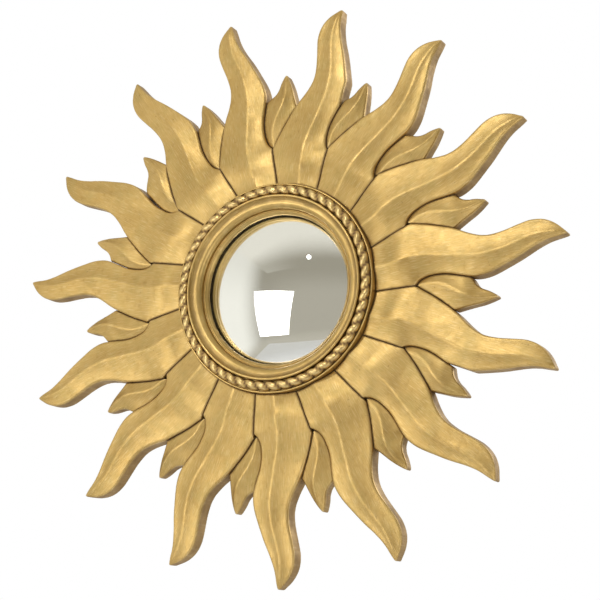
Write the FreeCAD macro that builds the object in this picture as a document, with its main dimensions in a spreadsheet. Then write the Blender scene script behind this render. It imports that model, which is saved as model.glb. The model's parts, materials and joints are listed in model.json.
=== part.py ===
import FreeCAD, Part

import math
import os

import Sketcher

# A convex mirror in a carved sunburst frame, hung on a wall.
# The wall is the plane y = 0 and the mirror looks along -Y, with +Z up.
# The origin is on the mirror's axis, on the wall plane. Lengths are in millimetres.
# Angles about the axis start at +X and grow towards +Z, anticlockwise for someone in front.

os.makedirs("parts", exist_ok=True)
doc = FreeCAD.newDocument("ConvexMirror")
Vector = FreeCAD.Vector

# ---- driving sizes ----

sizes = [
    ("sight_radius", 77, "opening in the hub's lip"),
    ("rabbet_radius", 82.5, "bore behind the lip, and opening of the backing ring"),
    ("rabbet_depth", 20, "from the backing ring to the back of the lip"),
    ("lip_thickness", 3.5, "edge of the lip, along the axis"),
    ("lip_slope_run", 2.4, "slope between the lip and the fine beads, across"),
    ("lip_slope_rise", 1.8, "the same slope, along the axis"),
    ("fine_bead_radius", 0.7, "section of the two fine beads beside the lip"),
    ("quirk_height", 1.6, "step from the fine beads up to the quarter round"),
    ("quarter_round_radius", 6.1, "section of the quarter round"),
    ("cove_radius", 4.2, "section of the hollow outside the quarter round"),
    ("inner_bead_radius", 1.5, "section of the bead between the cove and the rope"),
    ("hub_height", 36.3, "hub, from the backing ring to its front land"),
    ("hub_wall_height", 31.8, "outer wall of the hub, from the backing ring to its bead"),
    ("hub_radius", 108, "outer wall of the hub"),
    ("channel_height", 30.5, "floor of the rope's channel above the backing ring"),
    ("rope_ring_radius", 100.7, "middle of the rope"),
    ("rope_radius", 5, "section of the rope"),
    ("rope_seat", 2, "from the middle of the rope's section to its flat back"),
    ("rope_strands", 54, "strands round the rope"),
    ("strand_gap", 1.1, "width of the cut between two strands"),
    ("strand_cut", 1.3, "depth of the cut between two strands"),
    ("strand_slant", 37, "degrees from the radius to the cut"),
    ("dome_radius", 226, "curvature of the front of the glass"),
    ("glass_radius", 81, "edge of the glass"),
    ("glass_thickness", 3, "glass"),
    ("silver_margin", 0.5, "bare edge of the glass outside the silver"),
    ("silver_thickness", 0.3, "silver coat with its backing paint"),
    ("gasket_thickness", 2, "felt between the lip and the edge of the glass"),
    ("gasket_setback", 1.5, "felt stands back from the edge of the lip"),
    ("packing_width", 6.5, "packing ring, across"),
    ("backboard_thickness", 3, "board that closes the hub"),
    ("backing_thickness", 9, "plywood under the rays"),
    ("backing_radius", 176, "edge of the plywood"),
    ("rim_height", 5, "raised rim that stands on the wall"),
    ("rim_width", 7, "the same rim, across"),
    ("ray_pairs", 15, "large rays, and as many small ones between them"),
    ("first_tip", 5.5, "degrees from +X to the first large tip"),
    ("small_tip_offset", 11.65, "degrees from a large tip on to the next small one"),
    ("large_tip_radius", 300, "tips of the large rays"),
    ("large_breadth", 60, "breadth of a large ray"),
    ("large_height", 29, "ridge of a large ray above the plywood, at the hub"),
    ("small_root_radius", 144, "inner end of a small ray"),
    ("small_tip_radius", 230, "tips of the small rays"),
    ("small_breadth", 40, "breadth of a small ray"),
    ("small_height", 22, "ridge of a small ray above the plywood"),
    ("arris_round", 1.3, "softening of the edges that stand out"),
    ("ridge_round", 1.0, "softening of the ridge"),
    ("face_hollow", 0.5, "hollow of the carved faces"),
    ("seam_gap", 0.5, "dark joint between two rays"),
    ("shank_radius", 1.9, "wood screws"),
    ("head_radius", 3.6, "wood screws"),
    ("screw_length", 20, "wood screws"),
    ("screw_point", 4, "wood screws"),
    ("screw_sink", 0.3, "head of a wood screw below the surface"),
    ("screw_slot", 0.9, "slot of a screw's head, wide and deep"),
    ("hub_screws", 6, "screws that hold the hub"),
    ("small_screw_radius", 163, "place of the small rays' screws"),
    ("inner_screw_radius", 120, "place of the large rays' inner screws"),
    ("outer_screw_radius", 148, "place of the large rays' outer screws"),
    ("fit_gap", 0.1, "clearance where pieces are let into each other"),
    ("loose_gap", 0.5, "clearance round the boards in the rabbet"),
    ("button_count", 4, "turn buttons round the backboard"),
    ("button_width", 12, "turn button"),
    ("button_reach", 14, "turn button, from its screw to the middle of the long end"),
    ("button_heel", 6, "turn button, from its screw to the middle of the short end"),
    ("button_thickness", 1.5, "turn button"),
    ("button_lift", 0.2, "turn button above the plywood"),
    ("button_screw_length", 10, "turn button's screw, under its head"),
    ("pan_head_radius", 3.4, "turn button's screw"),
    ("pan_head_height", 1.6, "turn button's screw"),
    ("pin_clearance", 0.05, "running clearance round a screw or wire that turns"),
    ("hanger_radius", 136, "knuckle of the hanger above the axis"),
    ("hanger_length", 40, "hanger plate, from the knuckle down to its round end's middle"),
    ("hanger_width", 14, "hanger plate"),
    ("hanger_thickness", 1, "hanger plate"),
    ("hanger_screw_pitch", 12, "between the two hanger screws"),
    ("hanger_shank_radius", 1.4, "hanger screw"),
    ("hanger_head_radius", 2.6, "hanger screw"),
    ("hanger_screw_length", 8, "hanger screw"),
    ("knuckle_length", 11, "knuckle along its axis"),
    ("knuckle_wall", 0.9, "sheet rolled round the ring"),
    ("wire_radius", 1.25, "hanger ring"),
    ("ring_half_width", 11, "hanger ring, from its middle to the middle of the wire"),
    ("ring_corner", 3, "corner beside the ring's straight bar"),
    ("ring_side", 4, "from the bar to the start of the ring's bow"),
]

# How far the carver set each ray off the even spacing, in degrees, from the first ray on.
large_turns = [0.2, 0.5, 0.2, -1.0, -0.3, -0.5, 0.2, -0.3, 0.5, 0.2, 0.1, 0.0, 0.2, 0.0, -1.0]
small_turns = [0.8, -0.4, 0.1, -0.7, 0.3, -2.0, 0.3, 0.7, 0.1, 0.1, 0.3, 0.1, 0.1, -0.8, 0.4]

# Stations of a ray: share of its length from root to tip, then the left edge, the ridge
# and the right edge as shares of its breadth, then the height of the edges and of the
# ridge as shares of its height.
large_stations = [
    (-0.02, -0.45, -0.01, 0.45, 0.79, 1.00),
    (0.09, -0.45, 0.02, 0.57, 0.79, 1.00),
    (0.17, -0.45, 0.05, 0.66, 0.79, 1.00),
    (0.20, -0.41, 0.06, 0.65, 0.78, 0.97),
    (0.225, -0.33, 0.06, 0.63, 0.76, 0.95),
    (0.26, -0.285, 0.05, 0.605, 0.73, 0.92),
    (0.31, -0.275, 0.025, 0.565, 0.70, 0.88),
    (0.375, -0.30, -0.02, 0.495, 0.69, 0.85),
    (0.45, -0.375, -0.06, 0.40, 0.69, 0.82),
    (0.515, -0.43, -0.095, 0.29, 0.68, 0.81),
    (0.58, -0.42, -0.10, 0.215, 0.67, 0.80),
    (0.66, -0.345, -0.08, 0.21, 0.66, 0.76),
    (0.74, -0.255, -0.02, 0.26, 0.64, 0.72),
    (0.82, -0.145, 0.04, 0.31, 0.62, 0.68),
    (0.89, -0.065, 0.055, 0.29, 0.59, 0.64),
    (0.945, -0.035, 0.045, 0.20, 0.55, 0.60),
    (0.98, -0.02, 0.02, 0.09, 0.51, 0.54),
    (1.00, -0.01, 0.005, 0.02, 0.46, 0.48),
]
small_stations = [
    (0.00, -0.40, 0.18, 0.65, 0.66, 0.87),
    (0.10, -0.40, 0.22, 0.65, 0.68, 0.91),
    (0.19, -0.40, 0.26, 0.65, 0.70, 0.95),
    (0.30, -0.40, 0.27, 0.65, 0.72, 0.98),
    (0.42, -0.40, 0.20, 0.65, 0.73, 1.00),
    (0.53, -0.38, 0.09, 0.64, 0.73, 1.00),
    (0.61, -0.32, 0.01, 0.61, 0.73, 0.98),
    (0.66, -0.285, -0.02, 0.51, 0.72, 0.96),
    (0.70, -0.26, -0.04, 0.40, 0.71, 0.93),
    (0.74, -0.235, -0.05, 0.285, 0.70, 0.89),
    (0.79, -0.205, -0.05, 0.205, 0.68, 0.85),
    (0.87, -0.145, -0.035, 0.145, 0.65, 0.77),
    (0.94, -0.08, -0.015, 0.09, 0.61, 0.68),
    (0.98, -0.035, -0.005, 0.05, 0.57, 0.61),
    (1.00, -0.015, 0.00, 0.02, 0.54, 0.56),
]

# The straight seam beside a large ray's root: a point near the hub and one beyond the
# tip, as shares of the tip radius out from the axis and of the ray's breadth sideways.
seam_inner = (0.30, -0.36)
seam_outer = (1.07, -0.55)

sheet = doc.addObject("Spreadsheet::Sheet", "Sizes")
for row, (alias, number, words) in enumerate(sizes, start=1):
    sheet.set(f"A{row}", words)
    sheet.set(f"B{row}", str(number))
    sheet.setAlias(f"B{row}", alias)
doc.recompute()


def size(alias):
    return float(sheet.get(alias))


def count(alias):
    return int(round(size(alias)))


# Places along the axis. The wall is 0 and the front is negative.
floor_y = "(-Sizes.rim_height)"
ray_y = f"({floor_y} - Sizes.backing_thickness)"
lip_back_y = f"({ray_y} - Sizes.rabbet_depth)"
lip_front_y = f"({lip_back_y} - Sizes.lip_thickness)"
bead_land_y = f"({lip_front_y} - Sizes.lip_slope_rise)"
quirk_y = f"({bead_land_y} - Sizes.quirk_height)"
round_top_y = f"({quirk_y} - Sizes.quarter_round_radius)"
land_y = f"({ray_y} - Sizes.hub_height)"
wall_bead_y = f"({ray_y} - Sizes.hub_wall_height)"
channel_y = f"({ray_y} - Sizes.channel_height)"
rope_y = f"({channel_y} - Sizes.rope_seat)"
glass_edge_y = f"({lip_back_y} + Sizes.gasket_thickness)"
dome_y = f"({glass_edge_y} + sqrt(Sizes.dome_radius^2 - Sizes.glass_radius^2))"
board_y = f"({floor_y} - Sizes.backboard_thickness)"
button_y = f"({floor_y} + Sizes.button_lift)"
button_top_y = f"({button_y} + Sizes.button_thickness)"
ring_y = f"({floor_y} + Sizes.hanger_thickness + Sizes.wire_radius + Sizes.fit_gap)"

# Radii of the moulding, from the lip outwards.
bead_land_r = "(Sizes.sight_radius + Sizes.lip_slope_run)"
bead_middle_r = f"({bead_land_r} + 2 * Sizes.fine_bead_radius)"
quirk_r = f"({bead_middle_r} + 2 * Sizes.fine_bead_radius)"
round_top_r = f"({quirk_r} + Sizes.quarter_round_radius)"
channel_inner_r = "(Sizes.rope_ring_radius - Sizes.rope_radius - Sizes.fit_gap)"
cove_end_r = f"({channel_inner_r} - 2 * Sizes.inner_bead_radius)"
channel_outer_r = "(Sizes.rope_ring_radius + Sizes.rope_radius + Sizes.fit_gap)"
loose_rabbet_r = "(Sizes.rabbet_radius - Sizes.loose_gap)"
pivot_r = "((Sizes.rabbet_radius + Sizes.hub_radius) / 2)"

# ---- helpers ----

along_axis = FreeCAD.Rotation(Vector(1, 0, 0), -90)


def primitive(kind, name, y, **expressions):
    """A primitive whose own axis lies along Y, at the place y on it."""
    item = doc.addObject("Part::" + kind, name)
    item.Placement = FreeCAD.Placement(Vector(0, 0, 0), along_axis)
    item.setExpression("Placement.Base.y", y)
    for prop, expression in expressions.items():
        item.setExpression(prop, expression)
    return item


def disc(name, radius, front_y, thickness):
    return primitive("Cylinder", name, front_y, Radius=radius, Height=thickness)


def ball(name, radius, y):
    return primitive("Sphere", name, y, Radius=radius)


def fuse(name, pieces):
    item = doc.addObject("Part::MultiFuse", name)
    item.Shapes = pieces
    return item


def cut(name, base, tool):
    item = doc.addObject("Part::Cut", name)
    item.Base = base
    item.Tool = tool
    return item


def common(name, base, tool):
    item = doc.addObject("Part::Common", name)
    item.Base = base
    item.Tool = tool
    return item


def feature(name, shape):
    item = doc.addObject("Part::Feature", name)
    item.Shape = shape
    return item


def tube(name, inner_radius, outer_radius, front_y, thickness):
    return cut(
        name,
        disc(name + "_outside", outer_radius, front_y, thickness),
        disc(name + "_bore", inner_radius, front_y, thickness),
    )


def arc_between(start, end, centre_y):
    """An arc in the section's plane, with the numbers of its vertices at start and end."""
    centre_x = (
        end.x**2 - start.x**2 + (end.y - centre_y) ** 2 - (start.y - centre_y) ** 2
    ) / (2 * (end.x - start.x))
    centre = Vector(centre_x, centre_y, 0)
    start_angle = math.atan2(start.y - centre_y, start.x - centre_x)
    end_angle = math.atan2(end.y - centre_y, end.x - centre_x)
    circle = Part.Circle(centre, Vector(0, 0, 1), (start - centre).Length)
    if math.degrees(end_angle - start_angle) % 360 < 181:
        return Part.ArcOfCircle(circle, start_angle, end_angle), 1, 2
    return Part.ArcOfCircle(circle, end_angle, start_angle), 2, 1


def turned(name, corners):
    """A body turned about the Y axis from a section of lines and arcs between (radius, y).

    A third value in a corner is the y of the centre of the arc that starts there.
    """
    body = doc.addObject("PartDesign::Body", name)
    sketch = body.newObject("Sketcher::SketchObject", name + "_section")
    plane = [item for item in body.Origin.OriginFeatures if item.Role == "XY_Plane"][0]
    sketch.AttachmentSupport = (plane, [""])
    sketch.MapMode = "FlatFace"
    points = []
    for corner in corners:
        points.append(Vector(sheet.evalExpression(corner[0]), sheet.evalExpression(corner[1]), 0))
    vertices = []
    for index, corner in enumerate(corners):
        end = points[(index + 1) % len(points)]
        if len(corner) == 3:
            arc, first, last = arc_between(points[index], end, sheet.evalExpression(corner[2]))
            sketch.addGeometry(arc)
            vertices.append((first, last))
        else:
            sketch.addGeometry(Part.LineSegment(points[index], end))
            vertices.append((1, 2))

    def fix(kind, index, vertex, expression):
        number = sketch.addConstraint(
            Sketcher.Constraint(kind, -1, 1, index, vertex, sheet.evalExpression(expression))
        )
        sketch.setExpression(f"Constraints[{number}]", expression)

    for index, corner in enumerate(corners):
        before = (index - 1) % len(corners)
        first = vertices[index][0]
        sketch.addConstraint(Sketcher.Constraint("Coincident", before, vertices[before][1], index, first))
        fix("DistanceX", index, first, corner[0])
        fix("DistanceY", index, first, corner[1])
        if len(corner) == 3:
            fix("DistanceY", index, 3, corner[2])
    turning = body.newObject("PartDesign::Revolution", name + "_turning")
    turning.Profile = sketch
    turning.ReferenceAxis = (sketch, ["V_Axis"])
    turning.Angle = 360
    return body


def about_axis(shape, degrees):
    """A copy turned about the mirror's axis, anticlockwise for someone in front."""
    copy = shape.copy()
    copy.rotate(Vector(0, 0, 0), Vector(0, 1, 0), -degrees)
    return copy


def placed(shape, radius, y, degrees):
    copy = shape.copy()
    copy.translate(Vector(radius, y, 0))
    return about_axis(copy, degrees)


# ---- screws ----


def wood_screw(name, head, shank, length, gap="0"):
    """A countersunk screw along -Y with the top of its head at the origin, or its hole."""
    head_depth = f"({head} - {shank})"
    shank_length = f"({length} - {head_depth} - Sizes.screw_point)"
    cone = primitive("Cone", name + "_head", f"-{head_depth}", Height=head_depth)
    cone.setExpression("Radius1", f"{shank} + {gap}")
    cone.setExpression("Radius2", f"{head} + {gap}")
    rod = disc(name + "_shank", f"{shank} + {gap}", f"-{head_depth} - {shank_length}", shank_length)
    point = primitive("Cone", name + "_point", f"-{length}", Height="Sizes.screw_point")
    point.setExpression("Radius1", f"{gap} + {shank} / 8")
    point.setExpression("Radius2", f"{shank} + {gap}")
    return fuse(name, [cone, rod, point])


def slotted(name, screw, head, top="0"):
    slot = doc.addObject("Part::Box", name + "_slot")
    slot.setExpression("Length", f"2 * {head}")
    slot.setExpression("Width", "Sizes.screw_slot")
    slot.setExpression("Height", "Sizes.screw_slot")
    slot.setExpression("Placement.Base.x", f"-{head}")
    slot.setExpression("Placement.Base.y", f"{top} - Sizes.screw_slot")
    slot.setExpression("Placement.Base.z", "-Sizes.screw_slot / 2")
    return cut(name, screw, slot)


def sunk_hole(name, hole, head, gap):
    """The hole of a sunk screw, with the mouth above the head."""
    mouth = disc(name + "_mouth", f"{head} + {gap}", "0", "Sizes.screw_sink + Sizes.fit_gap")
    return fuse(name, [hole, mouth])


main_head = "Sizes.head_radius"
main_shank = "Sizes.shank_radius"
hanger_head = "Sizes.hanger_head_radius"
hanger_shank = "Sizes.hanger_shank_radius"

main_screw = slotted(
    "wood_screw", wood_screw("wood_screw_blank", main_head, main_shank, "Sizes.screw_length"), main_head
)
main_hole = sunk_hole(
    "wood_screw_hole",
    wood_screw("wood_screw_bore", main_head, main_shank, "Sizes.screw_length", "Sizes.fit_gap"),
    main_head,
    "Sizes.fit_gap",
)
small_screw = slotted(
    "small_wood_screw",
    wood_screw("small_screw_blank", hanger_head, hanger_shank, "Sizes.hanger_screw_length"),
    hanger_head,
)
small_hole = sunk_hole(
    "small_screw_hole",
    wood_screw("small_screw_bore", hanger_head, hanger_shank, "Sizes.hanger_screw_length", "Sizes.fit_gap"),
    hanger_head,
    "Sizes.fit_gap",
)

pan_screw = slotted(
    "pan_screw",
    fuse(
        "pan_screw_blank",
        [
            disc("pan_head", "Sizes.pan_head_radius", "0", "Sizes.pan_head_height"),
            disc("pan_shank", main_shank, "-Sizes.button_screw_length", "Sizes.button_screw_length"),
        ],
    ),
    "Sizes.pan_head_radius",
    "Sizes.pan_head_height",
)
pan_hole = disc(
    "pan_screw_hole",
    f"{main_shank} + Sizes.fit_gap",
    "-Sizes.button_screw_length - Sizes.fit_gap",
    "Sizes.button_screw_length + Sizes.fit_gap",
)
doc.recompute()

pitch = 360 / count("ray_pairs")
floor = -size("rim_height")
ray_plane = floor - size("backing_thickness")
sunk_top = floor - size("screw_sink")
pivot_radius = (size("rabbet_radius") + size("hub_radius")) / 2
button_top = floor + size("button_lift") + size("button_thickness")
button_angles = [45 + index * 360 / count("button_count") for index in range(count("button_count"))]
hub_angles = [index * 360 / count("hub_screws") for index in range(count("hub_screws"))]
large_angles = [size("first_tip") + index * pitch for index in range(count("ray_pairs"))]
small_angles = [angle + size("small_tip_offset") for angle in large_angles]
hanger_screw_radii = [
    size("hanger_radius") - size("hanger_length") + size("hanger_width") / 3 + step
    for step in (0, size("hanger_screw_pitch"))
]

# The screws stand a little to the left of a large tip's line and of a small ray's middle.
large_screw_turn = 1.5
small_screw_turn = 3.8


def set_of(shape, places):
    return [placed(shape, radius, y, degrees) for radius, y, degrees in places]


hub_places = [(pivot_radius, sunk_top, angle) for angle in hub_angles]
large_places = [
    [
        (size("inner_screw_radius"), sunk_top, angle + large_screw_turn),
        (size("outer_screw_radius"), sunk_top, angle + large_screw_turn),
    ]
    for angle in large_angles
]
small_places = [(size("small_screw_radius"), sunk_top, angle + small_screw_turn) for angle in small_angles]
button_places = [(pivot_radius, button_top + size("fit_gap"), angle) for angle in button_angles]
plate_top = floor + size("hanger_thickness")
hanger_places = [(radius, plate_top - size("screw_sink"), 90) for radius in hanger_screw_radii]

hub_screw_set = feature("hub_screws", Part.makeCompound(set_of(main_screw.Shape, hub_places)))
large_screw_set = feature(
    "large_ray_screws",
    Part.makeCompound([screw for places in large_places for screw in set_of(main_screw.Shape, places)]),
)
small_screw_set = feature("small_ray_screws", Part.makeCompound(set_of(main_screw.Shape, small_places)))
button_screw_set = feature("turn_button_screws", Part.makeCompound(set_of(pan_screw.Shape, button_places)))
hanger_screw_set = feature("hanger_screws", Part.makeCompound(set_of(small_screw.Shape, hanger_places)))

hub_holes = feature("hub_screw_holes", Part.makeCompound(set_of(main_hole.Shape, hub_places)))
backing_holes = feature(
    "backing_holes",
    Part.makeCompound(
        hub_holes.Shape.Solids
        + [hole for places in large_places for hole in set_of(main_hole.Shape, places)]
        + set_of(main_hole.Shape, small_places)
        + set_of(pan_hole.Shape, button_places)
        + set_of(small_hole.Shape, hanger_places)
    ),
)

# ---- hub moulding and rope ----

hub_turning = turned(
    "hub_turning",
    [
        ("Sizes.rabbet_radius", ray_y),
        ("Sizes.rabbet_radius", lip_back_y),
        ("Sizes.sight_radius", lip_back_y),
        ("Sizes.sight_radius", lip_front_y),
        (bead_land_r, bead_land_y, bead_land_y),
        (bead_middle_r, bead_land_y, bead_land_y),
        (quirk_r, bead_land_y),
        (quirk_r, quirk_y, quirk_y),
        (round_top_r, round_top_y, f"{round_top_y} - Sizes.cove_radius"),
        (cove_end_r, land_y, land_y),
        (channel_inner_r, land_y),
        (channel_inner_r, channel_y),
        (channel_outer_r, channel_y),
        (channel_outer_r, wall_bead_y, wall_bead_y),
        ("Sizes.hub_radius", wall_bead_y),
        ("Sizes.hub_radius", ray_y),
    ],
)
hub_moulding = cut("hub_moulding", hub_turning, hub_holes)


def half_rope(name, section_radius):
    """A ring of round section with a flat back that sits on the channel's floor."""
    ring = primitive(
        "Torus", name + "_ring", rope_y, Radius1="Sizes.rope_ring_radius", Radius2=section_radius
    )
    front_y = f"{channel_y} - 2 * Sizes.rope_radius"
    return common(name, ring, disc(name + "_front", "Sizes.hub_radius", front_y, "2 * Sizes.rope_radius"))


rope_core = half_rope("rope_core", "Sizes.rope_radius - Sizes.strand_cut")
doc.recompute()


def strand_grooves():
    """The slanted grooves that part the rope's strands, down to its core."""
    reach = 3 * size("rope_radius")
    gap = size("strand_gap")
    slab = Part.makeBox(reach, reach, gap, Vector(-reach / 2, -reach, -gap / 2))
    slab.rotate(Vector(0, 0, 0), Vector(0, 1, 0), -size("strand_slant"))
    slab.translate(Vector(size("rope_ring_radius"), ray_plane - size("channel_height"), 0))
    groove = slab.cut(rope_core.Shape)
    strands = count("rope_strands")
    return Part.makeCompound([about_axis(groove, index * 360 / strands) for index in range(strands)])


rope_moulding = cut(
    "rope_moulding",
    half_rope("rope_outside", "Sizes.rope_radius"),
    feature("strand_grooves", strand_grooves()),
)

# ---- glass and what holds it ----

back_ball_radius = "(Sizes.dome_radius - Sizes.glass_thickness)"
silver_ball_radius = f"({back_ball_radius} - Sizes.silver_thickness)"
glass_ball = ball("glass_ball", "Sizes.dome_radius", dome_y)
back_ball = ball("glass_back_ball", back_ball_radius, dome_y)
silver_ball = ball("silver_ball", silver_ball_radius, dome_y)


def dome_disc(name, radius):
    return disc(name, radius, land_y, "Sizes.hub_height")


convex_glass = cut(
    "convex_glass",
    common("glass_cap", dome_disc("glass_disc", "Sizes.glass_radius"), glass_ball),
    back_ball,
)
silvering = cut(
    "silvering",
    common(
        "silver_cap", dome_disc("silver_disc", "Sizes.glass_radius - Sizes.silver_margin"), back_ball
    ),
    silver_ball,
)
glass_gasket = cut(
    "glass_gasket",
    tube(
        "gasket_tube",
        "Sizes.sight_radius + Sizes.gasket_setback",
        "Sizes.rabbet_radius - Sizes.fit_gap",
        lip_back_y,
        "Sizes.gasket_thickness",
    ),
    ball("gasket_ball", "Sizes.dome_radius + Sizes.fit_gap", dome_y),
)
packing_ring = common(
    "packing_ring",
    tube(
        "packing_tube",
        f"{loose_rabbet_r} - Sizes.packing_width",
        loose_rabbet_r,
        lip_back_y,
        f"{board_y} - {lip_back_y}",
    ),
    ball("packing_ball", f"{silver_ball_radius} - Sizes.fit_gap", dome_y),
)
backboard = disc("backboard", loose_rabbet_r, board_y, "Sizes.backboard_thickness")

# ---- backing ring ----

rim_inner_r = "(Sizes.backing_radius - Sizes.rim_width)"
backing_ring = cut(
    "backing_ring",
    turned(
        "backing_turning",
        [
            ("Sizes.rabbet_radius", ray_y),
            ("Sizes.backing_radius", ray_y),
            ("Sizes.backing_radius", "0"),
            (rim_inner_r, "0"),
            (rim_inner_r, floor_y),
            ("Sizes.rabbet_radius", floor_y),
        ],
    ),
    backing_holes,
)

# ---- turn buttons ----


def turn_button():
    """A round-ended plate on the first pivot at +X, its long arm towards the axis."""
    bar = doc.addObject("Part::Box", "button_bar")
    bar.setExpression("Length", "Sizes.button_reach + Sizes.button_heel")
    bar.setExpression("Width", "Sizes.button_thickness")
    bar.setExpression("Height", "Sizes.button_width")
    bar.setExpression("Placement.Base.x", f"{pivot_r} - Sizes.button_reach")
    bar.setExpression("Placement.Base.y", button_y)
    bar.setExpression("Placement.Base.z", "-Sizes.button_width / 2")
    ends = []
    for name, x in (
        ("button_toe", f"{pivot_r} - Sizes.button_reach"),
        ("button_back", f"{pivot_r} + Sizes.button_heel"),
    ):
        end = disc(name, "Sizes.button_width / 2", button_y, "Sizes.button_thickness")
        end.setExpression("Placement.Base.x", x)
        ends.append(end)
    hole = disc("button_hole", f"{main_shank} + Sizes.pin_clearance", button_y, "Sizes.button_thickness")
    hole.setExpression("Placement.Base.x", pivot_r)
    blank = fuse("button_blank", [bar] + ends)
    blank.Refine = True
    return cut("button_pattern", blank, hole)


button_pattern = turn_button()

# ---- hanger ----


def hanger_plate():
    """A strap that lies on the plywood above the axis and ends in a knuckle at its top."""
    strap = doc.addObject("Part::Box", "hanger_strap")
    strap.setExpression("Length", "Sizes.hanger_width")
    strap.setExpression("Width", "Sizes.hanger_thickness")
    strap.setExpression("Height", "Sizes.hanger_length")
    strap.setExpression("Placement.Base.x", "-Sizes.hanger_width / 2")
    strap.setExpression("Placement.Base.y", floor_y)
    strap.setExpression("Placement.Base.z", "Sizes.hanger_radius - Sizes.hanger_length")
    foot = disc("hanger_foot", "Sizes.hanger_width / 2", floor_y, "Sizes.hanger_thickness")
    foot.setExpression("Placement.Base.z", "Sizes.hanger_radius - Sizes.hanger_length")
    rounds = []
    for name, radius in (
        ("knuckle_outside", "Sizes.wire_radius + Sizes.pin_clearance + Sizes.knuckle_wall"),
        ("knuckle_bore", "Sizes.wire_radius + Sizes.pin_clearance"),
    ):
        roll = doc.addObject("Part::Cylinder", name)
        roll.Placement = FreeCAD.Placement(Vector(0, 0, 0), FreeCAD.Rotation(Vector(0, 1, 0), 90))
        roll.setExpression("Radius", radius)
        roll.setExpression("Height", "Sizes.knuckle_length")
        roll.setExpression("Placement.Base.x", "-Sizes.knuckle_length / 2")
        roll.setExpression("Placement.Base.y", ring_y)
        roll.setExpression("Placement.Base.z", "Sizes.hanger_radius")
        rounds.append(roll)
    blank = fuse("hanger_blank", [strap, foot, rounds[0]])
    blank.Refine = True
    holes = feature("hanger_holes", Part.makeCompound(set_of(small_hole.Shape, hanger_places)))
    return cut("hanger_plate", cut("hanger_bored", blank, rounds[1]), holes)


def hanger_ring_shape():
    """A D-shaped wire ring that hangs from its straight bar."""
    half = size("ring_half_width")
    corner = size("ring_corner")
    side = size("ring_side")
    y = floor + size("hanger_thickness") + size("wire_radius") + size("fit_gap")
    top = size("hanger_radius")

    def at(x, drop):
        return Vector(x, y, top - drop)

    diagonal = corner * (1 - math.sqrt(0.5))
    path = Part.Wire(
        [
            Part.LineSegment(at(0, 0), at(half - corner, 0)).toShape(),
            Part.Arc(at(half - corner, 0), at(half - diagonal, diagonal), at(half, corner)).toShape(),
            Part.LineSegment(at(half, corner), at(half, side)).toShape(),
            Part.Arc(at(half, side), at(0, side + half), at(-half, side)).toShape(),
            Part.LineSegment(at(-half, side), at(-half, corner)).toShape(),
            Part.Arc(at(-half, corner), at(diagonal - half, diagonal), at(corner - half, 0)).toShape(),
            Part.LineSegment(at(corner - half, 0), at(0, 0)).toShape(),
        ]
    )
    wire = Part.Wire([Part.makeCircle(size("wire_radius"), at(0, 0), Vector(1, 0, 0))])
    return path.makePipeShell([wire], True, False)


hanger_plate_item = hanger_plate()
hanger_ring = feature("hanger_ring", hanger_ring_shape())

# ---- flame rays ----


def station_places(stations, root, tip, breadth, height):
    """The stations in millimetres: reach, left, ridge, right, edge height, ridge height."""
    places = []
    for along, left, ridge, right, edge, crest in stations:
        sideways = [left * breadth, ridge * breadth, right * breadth]
        places.append((root + along * (tip - root), *sideways, edge * height, crest * height))
    return places


def face_curves(at, edge_point, crest_point):
    """The softened arris and the hollow face between an edge and the ridge."""
    across = crest_point[0] - edge_point[0]
    rise = crest_point[1] - edge_point[1]
    length = math.hypot(across, rise)
    arris = min(size("arris_round"), length / 3)
    shoulder = min(size("ridge_round"), length / 3)
    hollow = min(size("face_hollow"), length / 20)

    def on_face(distance, drop=0):
        share = distance / length
        return at(edge_point[0] + across * share, edge_point[1] + rise * share - drop)

    wall_end = at(edge_point[0], edge_point[1] - arris)
    face_start = on_face(arris)
    face_end = on_face(length - shoulder)
    middle = on_face((arris + length - shoulder) / 2, 2 * hollow)
    return wall_end, [[wall_end, at(*edge_point), face_start], [face_start, middle, face_end]]


def curve(poles):
    bezier = Part.BezierCurve()
    bezier.setPoles(poles)
    return bezier.toShape()


def ray_section(reach, left, ridge, right, edge, crest):
    """A station's outline: flat back, upright sides, two hollow faces up to the ridge."""

    def at(sideways, rise):
        return Vector(reach, ray_plane - rise, sideways)

    left_wall, left_curves = face_curves(at, (left, edge), (ridge, crest))
    right_wall, right_curves = face_curves(at, (right, edge), (ridge, crest))
    crest_curve = [left_curves[1][-1], at(ridge, crest), right_curves[1][-1]]
    outline = [
        Part.LineSegment(at(right, 0), at(left, 0)).toShape(),
        Part.LineSegment(at(left, 0), left_wall).toShape(),
        curve(left_curves[0]),
        curve(left_curves[1]),
        curve(crest_curve),
        curve(right_curves[1][::-1]),
        curve(right_curves[0][::-1]),
        Part.LineSegment(right_wall, at(right, 0)).toShape(),
    ]
    return Part.Wire(outline)


def ray_solid(places):
    return Part.makeLoft([ray_section(*place) for place in places], True, False, False, 2)


def clearance_solid(places):
    """An upright prism with a ray's outline, wider than the ray by the joint on each side."""
    gap = size("seam_gap")
    front = ray_plane - 2 * size("large_height")

    def side(column, shift):
        spline = Part.BSplineCurve()
        spline.interpolate([Vector(place[0], front, place[column] + shift) for place in places])
        return spline.toShape()

    left = side(1, -gap)
    right = side(3, gap)
    ends = [
        Part.LineSegment(left.Vertexes[number].Point, right.Vertexes[number].Point).toShape()
        for number in (0, -1)
    ]
    outline = Part.Wire([left, ends[1], right, ends[0]])
    return Part.Face(outline).extrude(Vector(0, 3 * size("large_height"), 0))


large_places_mm = station_places(
    large_stations,
    size("hub_radius"),
    size("large_tip_radius"),
    size("large_breadth"),
    size("large_height"),
)
small_places_mm = station_places(
    small_stations,
    size("small_root_radius"),
    size("small_tip_radius"),
    size("small_breadth"),
    size("small_height"),
)
large_blank = ray_solid(large_places_mm)
small_blank = ray_solid(small_places_mm)
large_clearance = clearance_solid(large_places_mm)


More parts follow.
